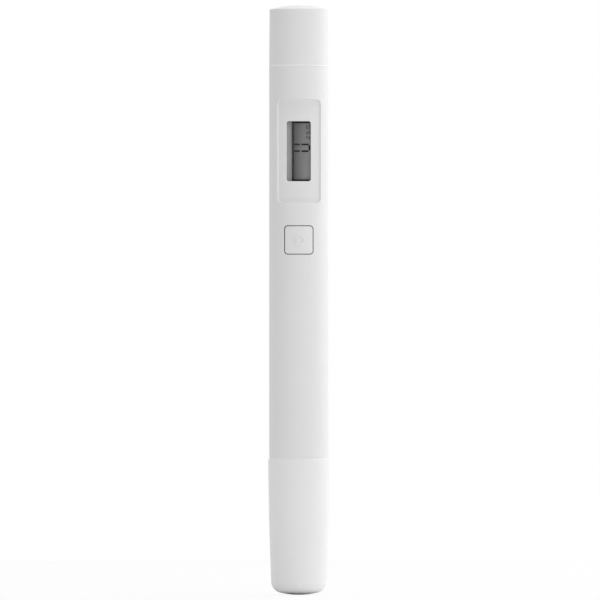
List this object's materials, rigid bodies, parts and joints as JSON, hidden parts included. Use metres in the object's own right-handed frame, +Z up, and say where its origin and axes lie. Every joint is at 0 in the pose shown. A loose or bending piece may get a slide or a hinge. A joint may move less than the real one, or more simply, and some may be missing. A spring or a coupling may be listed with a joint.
{
  "type": "water quality test pen",
  "caption": "Slim upright pen tester for dissolved solids in water, with a domed pull-off probe cap, a recessed display, a square push button and a pull-off battery cap.",
  "frame": {"origin": "bottom centre of the probe cap's domed end, on the pen's axis", "axes": "+Z up the pen's axis to the battery cap, -Y out of the display, +X to the display's right"},
  "size_m": [0.0156, 0.0156, 0.151],
  "materials": {
    "white_shell": "fine satin moulded white",
    "white_cap": "satin moulded white",
    "white_key": "satin moulded white",
    "white_inner_plastic": "plain moulded white",
    "clear_lens": "clear gloss",
    "black_mask": "matt black",
    "polarizer_film": "grey tinted film",
    "display_glass": "clear polished glass",
    "reflector_film": "satin silver-grey film",
    "white_foam": "soft closed-cell foam",
    "zebra_rubber": "silicone with fine dark layers",
    "black_plastic": "satin black",
    "sheet_steel": "bright rolled",
    "tinned_brass": "tinned",
    "board_laminate": "green solder mask",
    "chip_resin": "fine matt moulded resin",
    "capacitor_ceramic": "tan ceramic",
    "screw_steel": "bright zinc",
    "black_rubber": "smooth matt",
    "probe_titanium": "fine ground",
    "bead_glass": "glossy resin",
    "wire_jacket": "enamel",
    "solder": "bright solder",
    "contact_steel": "nickel plated",
    "cell_steel": "bright nickel",
    "cell_seal": "translucent nylon"
  },
  "bodies": {
    "pen": {"main_tube": "white_shell", "display_window": "clear_lens", "display_mask": "black_mask", "front_polarizer": "polarizer_film", "lcd_front_glass": "display_glass", "lcd_rear_glass": "display_glass", "rear_reflector": "reflector_film", "display_cushion": "white_foam", "zebra_strip": "zebra_rubber", "display_holder": "white_inner_plastic", "button_guide": "white_inner_plastic", "switch_base": "black_plastic", "switch_cover": "sheet_steel", "switch_legs": "tinned_brass", "circuit_board": "board_laminate", "processor_chip": "chip_resin", "processor_leads": "tinned_brass", "amplifier_chip": "chip_resin", "amplifier_leads": "tinned_brass", "timing_crystal": "sheet_steel", "chip_resistors": "chip_resin", "chip_capacitors": "capacitor_ceramic", "chassis": "white_inner_plastic", "chassis_screws": "screw_steel", "probe_housing": "white_inner_plastic", "housing_ring": "black_rubber", "left_probe_pin": "probe_titanium", "right_probe_pin": "probe_titanium", "temperature_sleeve": "probe_titanium", "thermistor_bead": "bead_glass", "sensor_wires": "wire_jacket", "pin_solder": "solder", "wire_solder": "solder", "battery_holder": "white_inner_plastic", "battery_cap_ring": "black_rubber", "battery_strip": "contact_steel", "battery_leaf": "contact_steel", "lower_cell_can": "cell_steel", "lower_cell_seal": "cell_seal", "lower_cell_cap": "cell_steel", "upper_cell_can": "cell_steel", "upper_cell_seal": "cell_seal", "upper_cell_cap": "cell_steel"},
    "probe_cap": {"probe_cap": "white_cap"},
    "battery_cap": {"battery_cap": "white_cap"},
    "button": {"push_button": "white_key"},
    "plunger": {"switch_plunger": "black_plastic"}
  },
  "joints": [
    {"name": "probe_cap_pull", "type": "slide", "parent": "pen", "child": "probe_cap", "axis": [0, 0, -1], "range_m": [0, 0.045]},
    {"name": "battery_cap_pull", "type": "slide", "parent": "pen", "child": "battery_cap", "axis": [0, 0, 1], "range_m": [0, 0.018]},
    {"name": "button_press", "type": "slide", "parent": "pen", "child": "button", "axis": [0, 1, 0], "range_m": [0, 0.0005], "stiffness_N_per_m": 200},
    {"name": "plunger_press", "type": "slide", "parent": "pen", "child": "plunger", "axis": [0, 1, 0], "range_m": [0, 0.0005]}
  ],
  "couplings": [
    {"joint": "plunger_press", "follows": "button_press", "ratio": 1}
  ]
}
